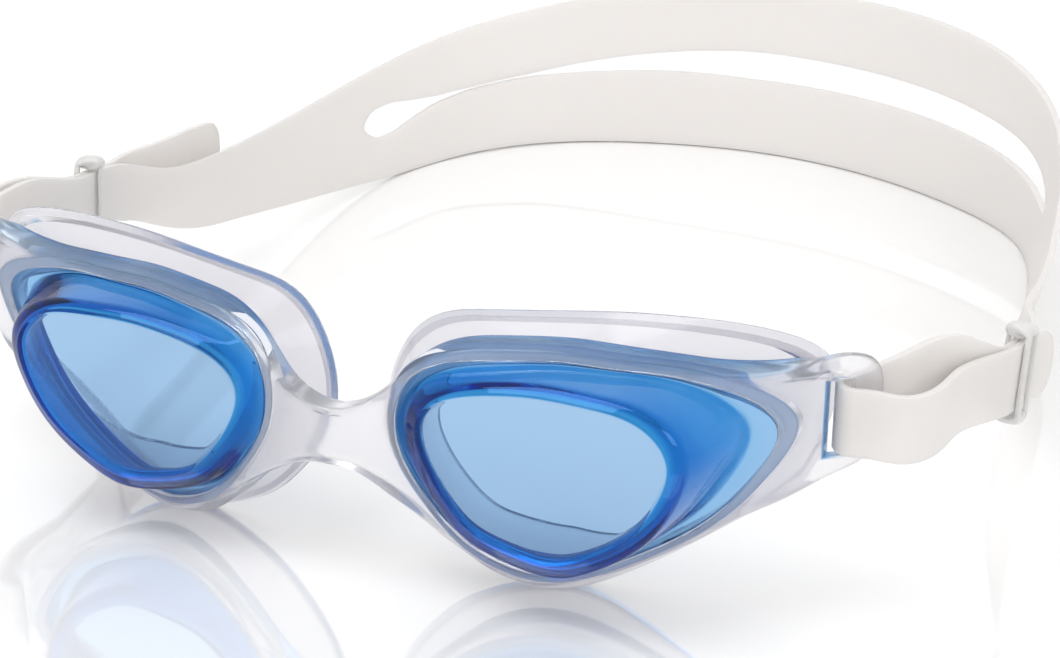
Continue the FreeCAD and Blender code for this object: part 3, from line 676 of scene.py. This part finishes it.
def frame_refraction_paint(rows):
    """The painted refraction of the blue flange at every point: none on bridge and tabs, and on the rear
    edge only above.
    """
    tint = np.interp(np.arange(len(rows)), *np.array(FRAME_PAINTED_REFRACTION).T)[:, None]
    x, z = rows[:, :, 0], rows[:, :, 2]
    on_rim = smooth_step(x, 8, 14) * (1 - smooth_step(x, 67, 71))
    rear = (np.arange(len(rows)) > REAR_AFTER_ROW)[:, None]
    return tint * on_rim * np.where(rear, smooth_step(z, 36.5, 40.5), 1)


def add_frame():
    """The whole frame: half the surface, its slot lining, and the mirrored copy joined on."""
    rows, (low, high), inner_count = half_frame()
    count, columns = rows.shape[:2]
    numbers = grid_faces(count, columns, True, True).reshape(count, columns, 4)
    keep = np.ones((count, columns), bool)
    front_near, front_far = FACE_ROWS - SLOT_ROWS[1], FACE_ROWS - SLOT_ROWS[0]
    back_start = FACE_ROWS + inner_count - 2 + 1
    back_near, back_far = back_start + SLOT_ROWS[0], back_start + SLOT_ROWS[1]
    keep[front_near, low:high] = False
    keep[back_near, low:high] = False
    lining = slot_lining(slot_loop(rows, front_far, front_near, low, high),
                         slot_loop(rows, back_near, back_far, low, high))
    faces = np.concatenate([numbers[keep],
                            grid_faces(*lining.shape[:2], False, True) + count * columns])
    half = np.concatenate([rows.reshape(-1, 3), lining.reshape(-1, 3)])
    on_mirror = np.all(np.abs(half[faces][:, :, 0]) < 1e-4, axis=1)
    faces = faces[~on_mirror]
    points = np.concatenate([half, half * [-1, 1, 1]])
    in_slot = (np.abs(lining[:, :, 0] - SLOT_X[0]) < 0.2).ravel()
    # painted refraction of the blue flange on the frame's rows and on the slot's wall
    tint = np.concatenate([frame_refraction_paint(rows).ravel(), np.where(in_slot, SLOT_PAINTED_REFRACTION, 0.0)])
    return add_mesh("clear_frame", points, np.concatenate([faces, faces + len(half)]),
                    np.tile(tint, 2))


goggle_frame = add_frame()
goggle_frame.data.materials.append(FRAME_MATERIAL)
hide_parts("frame")
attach(goggle_frame, "goggles")

# %% [markdown]
# ## Milky silicone
# The strap is the same rubber with a little white in it: light goes in, spreads and
# comes out soft, so it has hardly any dark side.

# %% Strap material
def milky_silicone():
    """Translucent white silicone rubber, IOR 1.41, satin: wide soft highlights."""
    material, tree = new_material("milky silicone rubber, satin moulded")
    bump = wear_bump(tree, 0.9, 0.02, 0.6)
    surface = add(tree, "BsdfPrincipled", {
        "Base Color": linear("#f2eeeb"), "Roughness": 0.42, "IOR": 1.41,
        "Transmission Weight": 0.25, "Subsurface Weight": 0.5,
        "Subsurface Radius": (1.0, 0.95, 0.9), "Subsurface Scale": 0.002,
        "Normal": bump.outputs["Normal"]})
    finish_material(tree, surface.outputs["BSDF"])
    return material


STRAP_MATERIAL = milky_silicone()

# %% [markdown]
# ## The strap's line
# The strap is one long band. From each free tongue it runs forward through its
# slider, folds round the bar of the frame's side tab, comes back through the same
# slider and goes round the head. Its line is a list of rows: middle point, upright
# direction and width.

# %% Places on the tabs
TAB_WAY = np.array([math.cos(TAB_TURN), math.sin(TAB_TURN), 0])
TAB_OUT = np.array([TAB_WAY[1], -TAB_WAY[0], 0])
TAB_ROOT = np.array([TEMPLE_EDGE, FRAME_MIDDLE_Y + WRAP * (TEMPLE_EDGE - NOSE_X), 0])
STRAP_MID_Z = 34.6
FOLD_AT, FOLD_RADIUS = 7.7, 3.05
UP = np.array([0.0, 0.0, 1.0])


def tab_point(along, out, z):
    """A place on the tab: along its middle line, out from it, and its height."""
    return TAB_ROOT + TAB_WAY * along + TAB_OUT * out + UP * z


def from_bar(sign, step):
    """A place by a step from the tab's bar, on the left (sign 1) or right (sign -1)."""
    return (tab_point(FOLD_AT, 0, STRAP_MID_Z) + np.array(step)) * [sign, 1, 1]


def slider_axes(centre, run):
    """A slider's directions: along the strap, away from the head, and up."""
    run = np.array(run) / np.linalg.norm(run)
    out = np.array([run[1], -run[0], 0]) * np.sign(centre[0])
    out = out / np.linalg.norm(out)
    up = np.cross(run, out)
    return run, out, up * np.sign(up[2]) / np.linalg.norm(up)


LEFT_SLIDER, LEFT_RUN = from_bar(1, (17.0, 31.1, -3.8)), (0.14, 1.0, -0.16)
RIGHT_SLIDER, RIGHT_RUN = from_bar(-1, (3.2, 38.3, -3.7)), (0.02, 1.0, -0.12)
print("sliders at", LEFT_SLIDER.round(1), RIGHT_SLIDER.round(1))

# %% Rows of the strap
END_WIDTH, TONGUE_WIDTH, END_THICKNESS, BACK_THICKNESS = 10.8, 12.8, 1.1, 1.6
LAYER_STEP = 0.65               # half the distance between the two layers' middles
STRAIGHT = 5.95                 # the strap is straight this far each way in a slider
LEFT_OUTER = [(6.7, -0.9, -0.8), (10.2, 4.1, -1.3), (12.0, 15.0, -2.0)]
LEFT_INNER = [(3.2, 5.9, 1.8), (6.8, 12.1, 2.4), (11.0, 19.1, 1.2)]
RIGHT_OUTER = [(6.0, 3.1, 0.4), (7.8, 11.5, 0.4), (6.4, 22.5, 0.2)]
RIGHT_INNER = [(3.0, 6.5, 0.8), (4.4, 13.5, 1.0), (3.8, 22.5, 0.4)]
LEFT_TONGUE = [(3.4, 10.8, -2.2)]
RIGHT_TONGUE = [(-1.6, 12.0, -2.4), (-2.6, 26.0, -4.6), (-3.4, 40.0, -6.4), (-3.8, 52.0, -8.2)]
# x and y, height of the lower edge, outward lean in degrees, width over both bands
COURSE = [(-76.4, 80.0, 18.6, 8.0, 12.2), (-75.4, 102.0, 12.2, 10.0, 14.2),
          (-75.2, 124.0, 7.4, 14.0, 16.8), (-73.8, 147.0, 3.0, 16.0, 20.4),
          (-69.4, 168.0, 0.3, 16.0, 24.7), (-60.0, 187.0, 0.25, 15.0, 28.4),
          (-44.0, 202.0, 0.25, 12.0, 32.5), (-21.0, 211.2, 0.2, 10.0, 37.3),
          (4.0, 214.2, 0.2, 9.0, 38.8), (30.0, 209.4, 0.2, 8.0, 38.8),
          (53.0, 198.0, 0.2, 6.0, 37.6), (70.0, 182.4, 0.2, 4.0, 33.8),
          (77.0, 163.0, 0.3, 8.0, 28.4), (80.6, 137.0, 1.4, 12.0, 22.6),
          (83.6, 108.0, 7.4, 15.0, 17.0), (88.0, 80.0, 17.6, 12.0, 13.0)]


def side_rows(sign, slider, run, outer, inner, tongue):
    """Rows from the tongue's tip to the slider on the way back, for one side."""
    run, out, up = slider_axes(slider, run)
    rows = [(slider + np.array(step), up, TONGUE_WIDTH) for step in reversed(tongue)]
    rows += [(slider + run * along + out * LAYER_STEP, up, END_WIDTH)
             for along in (STRAIGHT, 0.0, -STRAIGHT)]
    rows += [(from_bar(sign, step), UP, END_WIDTH) for step in reversed(outer)]
    for turn in np.radians((90, 135, 180, 225, 270)):
        fold = tab_point(FOLD_AT + FOLD_RADIUS * math.cos(turn),
                         FOLD_RADIUS * math.sin(turn), STRAP_MID_Z)
        rows.append((fold * [sign, 1, 1], UP, END_WIDTH))
    rows += [(from_bar(sign, step), UP, END_WIDTH) for step in inner]
    rows += [(slider + run * along - out * LAYER_STEP, up, END_WIDTH)
             for along in (-STRAIGHT, 0.0, STRAIGHT)]
    return rows


def course_rows():
    """Rows round the back, each leaning outwards from its own lower edge."""
    course = np.array(COURSE)
    way = np.gradient(course[:, :2], axis=0)
    way[1:-1] = course[2:, :2] - course[:-2, :2]
    outward = np.stack([-way[:, 1], way[:, 0], 0 * way[:, 0]], axis=1)
    outward /= np.linalg.norm(outward, axis=1, keepdims=True)
    tilt = np.radians(course[:, 3:4])
    upright = UP * np.cos(tilt) + outward * np.sin(tilt)
    return [(row[:3] + lift * row[4] / 2, lift, row[4]) for row, lift in zip(course, upright)]


RIGHT_ROWS = side_rows(-1, RIGHT_SLIDER, RIGHT_RUN, RIGHT_OUTER, RIGHT_INNER, RIGHT_TONGUE)
LEFT_ROWS = side_rows(1, LEFT_SLIDER, LEFT_RUN, LEFT_OUTER, LEFT_INNER, LEFT_TONGUE)
ROWS = RIGHT_ROWS + course_rows() + LEFT_ROWS[::-1]
ROW_MIDDLE, ROW_UP = np.array([row[0] for row in ROWS]), np.array([row[1] for row in ROWS])
ROW_WIDTH = np.array([row[2] for row in ROWS])
ROW_KNOT = np.r_[0, np.cumsum(np.linalg.norm(np.diff(ROW_MIDDLE, axis=0), axis=1))]
COURSE_START = len(RIGHT_ROWS)
print("strap length %.0f mm in %d rows" % (ROW_KNOT[-1], len(ROWS)))

# %% [markdown]
# ## The strap's surface
# At the back the band splits into an upper and a lower one, with a rounded hole at
# each end of the split so that it doesn't tear. The surface is two strips, one under
# and one over the split's middle line. Where there is no split their edges meet and
# are joined. A Solidify modifier then gives the rubber its thickness.

# %% Build the strap
SPLIT_ENDS = (4.6, 12.95)       # counted in rows of the course, from 1
# the split's height at a distance from its end: rows of the course, millimetres
SPLIT_RIGHT = [(0.0, 0.0), (0.02, 1.9), (0.06, 3.4), (0.15, 5.6), (0.3, 7.2), (0.5, 6.4),
               (0.8, 3.6), (1.1, 1.5), (1.5, 0.5), (2.1, 0.6), (3.0, 3.4), (4.2, 6.6)]
SPLIT_LEFT = [(0.0, 0.0), (0.02, 1.4), (0.06, 2.6), (0.2, 4.6), (0.5, 6.0), (1.0, 6.6)]
TIP_ROUND, TIP_POWER = 5.2, 2.4         # a tongue's rounded end: its length, its shape
PLACE_STEP, PLACE_GAP = 1.3, 0.12       # usual and smallest distance between places
EYE_MM = 21.0                   # the places are closer this far from each end of the split
SPLIT_RISE = 0.04               # the split lies this share of the half width above the middle
FULL_WIDTH = 39                 # where the band is this wide, its wall is thickest


def split_height(row):
    """The split's height at a place, by straight lines between the points of both ends:
    a rounded hole first, and on the right a long stretch where the bands nearly meet."""
    right, left = np.array(SPLIT_RIGHT), np.array(SPLIT_LEFT)
    height = np.minimum(np.interp(row - SPLIT_ENDS[0], *right.T),
                        np.interp(SPLIT_ENDS[1] - row, *left.T))
    return height * (row > SPLIT_ENDS[0]) * (row < SPLIT_ENDS[1])


def strap_places():
    """Places along the strap: evenly spaced, and closer round the split's ends and at
    the tongues' tips."""
    row = np.arange(len(COURSE)) + 1.0
    end_places = np.interp(SPLIT_ENDS, row, ROW_KNOT[COURSE_START:COURSE_START + len(COURSE)])
    spread = (1 - np.cos(np.linspace(0, np.pi, 33))) / 2
    tips = TIP_ROUND * (1 - np.cos(np.linspace(0, np.pi / 2, 12)))
    places = [np.arange(0, ROW_KNOT[-1], PLACE_STEP), [ROW_KNOT[-1]], tips, ROW_KNOT[-1] - tips,
              end_places[0] + EYE_MM * spread, end_places[1] - EYE_MM * spread]
    places = np.unique(np.concatenate(places).round(3))
    keep = np.r_[True, np.diff(places) > PLACE_GAP]
    keep[-1] = True
    return places[keep]


def strap_surface():
    """Points of the two strips: middle line plus upright direction times a share of the
    half width, with the split's edges in between."""
    places = strap_places()
    middle = spline(ROW_KNOT, ROW_MIDDLE, places)
    upright = spline(ROW_KNOT, ROW_UP, places)
    upright /= np.linalg.norm(upright, axis=1, keepdims=True)
    half = spline(ROW_KNOT, ROW_WIDTH, places)[:, 0] / 2
    tip = np.clip(np.minimum(places, places[-1] - places) / TIP_ROUND, 0, 1)
    half = half * (1 - (1 - tip) ** TIP_POWER) ** (1 / TIP_POWER)
    row_at = np.interp(places, ROW_KNOT, np.arange(len(ROWS)) - COURSE_START + 1.0)
    gap = split_height(row_at) / 2
    centre = SPLIT_RISE * half * (gap > 0)
    across = np.linspace(0, 1, 7)
    low = -half[:, None] + (centre - gap + half)[:, None] * across
    high = (centre + gap)[:, None] + (half - centre - gap)[:, None] * across
    offsets = np.concatenate([low, high], axis=1)
    points = middle[:, None] + upright[:, None] * offsets[:, :, None]
    share = np.clip((2 * half - END_WIDTH) / (FULL_WIDTH - END_WIDTH), 0, 1)
    return points, share


def add_strap():
    """The strap as one object with a wall of 1.1 mm at its ends and 1.6 mm at the back."""
    points, share = strap_surface()
    count, across = points.shape[:2]
    faces = grid_faces(count, across, False, False).reshape(count - 1, across - 1, 4)
    faces = np.delete(faces, across // 2 - 1, axis=1).reshape(-1, 4)
    mesh = bpy.data.meshes.new("strap_band")
    mesh.from_pydata(to_model(points.reshape(-1, 3)), [], [tuple(face) for face in faces.tolist()])
    piece = bpy.data.objects.new("strap_band", mesh)
    bpy.context.collection.objects.link(piece)
    group = piece.vertex_groups.new(name="wall thickness")
    weights = np.repeat(share, across).round(2)
    for weight in np.unique(weights):
        chosen = np.nonzero(weights == weight)[0].tolist()
        group.add(chosen, float(weight), "REPLACE")
    work = bmesh.new()
    work.from_mesh(mesh)
    bmesh.ops.remove_doubles(work, verts=work.verts, dist=2e-5)
    work.to_mesh(mesh)
    work.free()
    mesh.polygons.foreach_set("use_smooth", np.ones(len(mesh.polygons), bool))
    wall = piece.modifiers.new("Wall", "SOLIDIFY")
    wall.thickness, wall.offset = BACK_THICKNESS / 1000, 0.0
    wall.vertex_group, wall.thickness_vertex_group = "wall thickness", END_THICKNESS / BACK_THICKNESS
    wall.use_even_offset = True
    edge = piece.modifiers.new("Edge", "BEVEL")
    edge.width, edge.segments, edge.limit_method = 0.0003, 3, "ANGLE"
    edge.angle_limit = math.radians(50)
    piece.data.materials.append(STRAP_MATERIAL)
    print("strap_band", len(mesh.vertices), "points")
    return piece


band = add_strap()
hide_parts("strap")
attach(band, "strap")

# %% [markdown]
# ## Sliders
# A slider is a small rounded loop of clear plastic that looks slightly grey.
# Two bars lie outside the strap's layers and one inside them, so that friction holds
# the length. The loop is a ring whose section grows from thin bars at its sides to
# thick rails above and below the strap.

# %% Slider material
def grey_polycarbonate():
    """Clear polycarbonate with a light frost: grey where it is thick."""
    material, tree = new_material("clear polycarbonate, lightly frosted")
    bump = wear_bump(tree, 0.8, 0.02, 0.6)
    surface = add(tree, "BsdfPrincipled", {
        "Base Color": linear("#f0efed"), "Roughness": 0.30, "IOR": 1.50,
        "Transmission Weight": 0.4, "Normal": bump.outputs["Normal"]})
    haze = add(tree, "VolumeAbsorption", {"Color": (0.6, 0.6, 0.62, 1.0), "Density": 40.0})
    finish_material(tree, surface.outputs["BSDF"], haze.outputs["Volume"])
    return material


SLIDER_MATERIAL = grey_polycarbonate()

# %% Build the sliders
LOOP_COUNT, SECTION_COUNT = 72, 16
SLIDER_HALF_WIDTH, SLIDER_HALF_HEIGHT = 2.05, 7.15      # of the loop's middle line
CHANNEL_HALF, SKIN_HALF = 1.45, 0.45
BAR_HALF_WIDTH, BAR_HALF_LENGTH = 0.62, 6.9
RAIL_EXTRA = 0.5                # how much more half width a rail has than a bar


def power_wave(wave, power):
    """A cosine or sine with its shape squared off: sign times |wave| to a power."""
    return np.sign(wave) * np.abs(wave) ** power


def slider_loop():
    """Local points (run, out, up) of the ring: a rounded rectangle for its middle line, and
    a section that grows from the thin outer bars to the rails."""
    around = np.arange(LOOP_COUNT) * 2 * np.pi / LOOP_COUNT
    section = np.arange(SECTION_COUNT) * 2 * np.pi / SECTION_COUNT
    run = SLIDER_HALF_WIDTH * power_wave(np.cos(around), 0.55)
    up = SLIDER_HALF_HEIGHT * power_wave(np.sin(around), 0.30)
    rail = smooth_step(np.abs(np.sin(around)), 0.72, 0.97)
    outward = (CHANNEL_HALF + SKIN_HALF) * (1 - rail)
    wide = BAR_HALF_WIDTH + RAIL_EXTRA * rail
    deep = SKIN_HALF + (CHANNEL_HALF + SKIN_HALF) * rail
    away = np.stack([np.cos(around) * (1 - rail), np.sin(around) * rail], axis=1)
    away /= np.linalg.norm(away, axis=1, keepdims=True)
    side = power_wave(np.cos(section), 0.8)[:, None]
    lift = power_wave(np.sin(section), 0.8)[:, None]
    return np.stack([run + side * wide * away[:, 0], outward + lift * deep,
                     up + side * wide * away[:, 1]], axis=2)


def slider_bar():
    """Local points of the inner bar: an upright rod with an oval section, rounded off
    inside the rails."""
    share = np.linspace(-1, 1, 17)[:, None]
    section = np.arange(SECTION_COUNT) * 2 * np.pi / SECTION_COUNT
    swell = np.sqrt(np.clip(1 - share ** 8, 0, 1))
    return np.stack([BAR_HALF_WIDTH * swell * np.cos(section),
                     swell * SKIN_HALF * np.sin(section) - CHANNEL_HALF - SKIN_HALF,
                     BAR_HALF_LENGTH * share + 0 * section], axis=2)


def add_slider(name, centre, run):
    """One slider turned to its place on the strap."""
    axes = np.array(slider_axes(centre, run))
    loop, bar = slider_loop(), slider_bar()
    faces = np.concatenate([grid_faces(*loop.shape[:2], True, True),
                            grid_faces(*bar.shape[:2], False, True) + loop.shape[0] * loop.shape[1]])
    local = np.concatenate([loop.reshape(-1, 3), bar.reshape(-1, 3)])
    piece = add_mesh(name, centre + local @ axes, faces)
    piece.data.materials.append(SLIDER_MATERIAL)
    return piece


for side, centre, run in (("left", LEFT_SLIDER, LEFT_RUN), ("right", RIGHT_SLIDER, RIGHT_RUN)):
    small_loop = add_slider("strap_slider_" + side, centre, run)
    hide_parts("slider_" + side)
    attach(small_loop, "slider_" + side)

# %% [markdown]
# ## Table and light
# The goggles lie on a wide, flat, glossy white sheet under a big white tent. Nearly all
# the light comes from everywhere, and two soft boxes add the small highlights. A tent
# is what makes clear plastic read as clear: it has almost nothing dark to show.

# %% Table
def white_acrylic():
    """Glossy white acrylic sheet: white, with a weak mirror image."""
    material, tree = new_material("white acrylic sheet, glossy")
    bump = wear_bump(tree, 60.0, 0.02, 0.1)
    surface = add(tree, "BsdfPrincipled", {
        "Base Color": linear("#fafafa"), "Roughness": 0.04, "Metallic": 0.26,
        "Normal": bump.outputs["Normal"]})
    finish_material(tree, surface.outputs["BSDF"])
    return material


TABLE_HALF = 3000.0


def add_table():
    """A flat square, 6 m wide, under the object."""
    half = TABLE_HALF
    corners = np.array([(-half, -half, 0), (half, -half, 0), (half, half, 0), (-half, half, 0)])
    table = add_mesh("table", corners - ORIGIN, np.array([[0, 1, 2, 3]]))
    table.data.materials.append(white_acrylic())
    return table


add_table()

# %% World and lamps
def white_tent():
    """An even white surrounding, pure white to the camera and in glass and gloss."""
    world = bpy.data.worlds.new("white tent")
    world.use_nodes = True
    tree = world.node_tree
    tree.nodes.clear()
    path = add(tree, "LightPath").outputs
    seen = add(tree, "Math", {0: path["Is Camera Ray"], 1: path["Is Transmission Ray"]},
               operation="MAXIMUM")
    seen = add(tree, "Math", {0: seen.outputs[0], 1: path["Is Glossy Ray"]}, operation="MAXIMUM")
    light = add(tree, "Background", {"Color": (1.0, 1.0, 1.0, 1.0), "Strength": 0.9})
    white = add(tree, "Background", {"Color": (1.0, 1.0, 1.0, 1.0), "Strength": 1.0})
    both = add(tree, "MixShader", {0: seen.outputs[0], 1: light.outputs[0], 2: white.outputs[0]})
    output = tree.nodes.new("ShaderNodeOutputWorld")
    tree.links.new(both.outputs[0], output.inputs["Surface"])
    bpy.context.scene.world = world


LAMP_AIM = np.array([0.0, -0.05, 0.03])


def add_lamp(name, place, size, power):
    """A square soft box at that place in metres, turned towards the goggles."""
    data = bpy.data.lights.new(name, "AREA")
    data.shape, data.size, data.energy = "SQUARE", size, power
    lamp = bpy.data.objects.new(name, data)
    lamp.location = place
    way = LAMP_AIM - np.array(place)
    flat = math.hypot(way[0], way[1])
    lamp.rotation_euler = (math.atan2(flat, -way[2]), 0, math.atan2(way[1], way[0]) - math.pi / 2)
    bpy.context.collection.objects.link(lamp)


white_tent()
add_lamp("soft box above", (-0.25, -0.35, 0.9), 0.5, 3.0)
add_lamp("soft box right", (0.7, -0.5, 0.5), 0.35, 1.5)

# %% [markdown]
# ## Camera
# The picture was taken from a little above, from the wearer's left. The lens is a
# short telephoto, found by matching the places of the windows, tabs and strap.

# %% Camera
PICTURE_WIDTH_PX, FOCAL_PX, SENSOR_MM = 1060, 2250, 36
CAMERA_PLACE, CAMERA_AZIMUTH, CAMERA_ELEVATION = (147.3, -268.3, 183.8), 22.88, 24.64
camera_data = bpy.data.cameras.new("camera")
camera_data.sensor_width = SENSOR_MM
camera_data.lens = FOCAL_PX / PICTURE_WIDTH_PX * SENSOR_MM
camera = bpy.data.objects.new("camera", camera_data)
camera.location = to_model(CAMERA_PLACE)
camera.rotation_euler = (math.radians(90 - CAMERA_ELEVATION), 0, math.radians(CAMERA_AZIMUTH))
bpy.context.collection.objects.link(camera)
scene = bpy.context.scene
scene.camera = camera
scene.view_settings.view_transform = "Standard"
scene.cycles.max_bounces = scene.cycles.transmission_bounces = 40
scene.cycles.glossy_bounces = 12
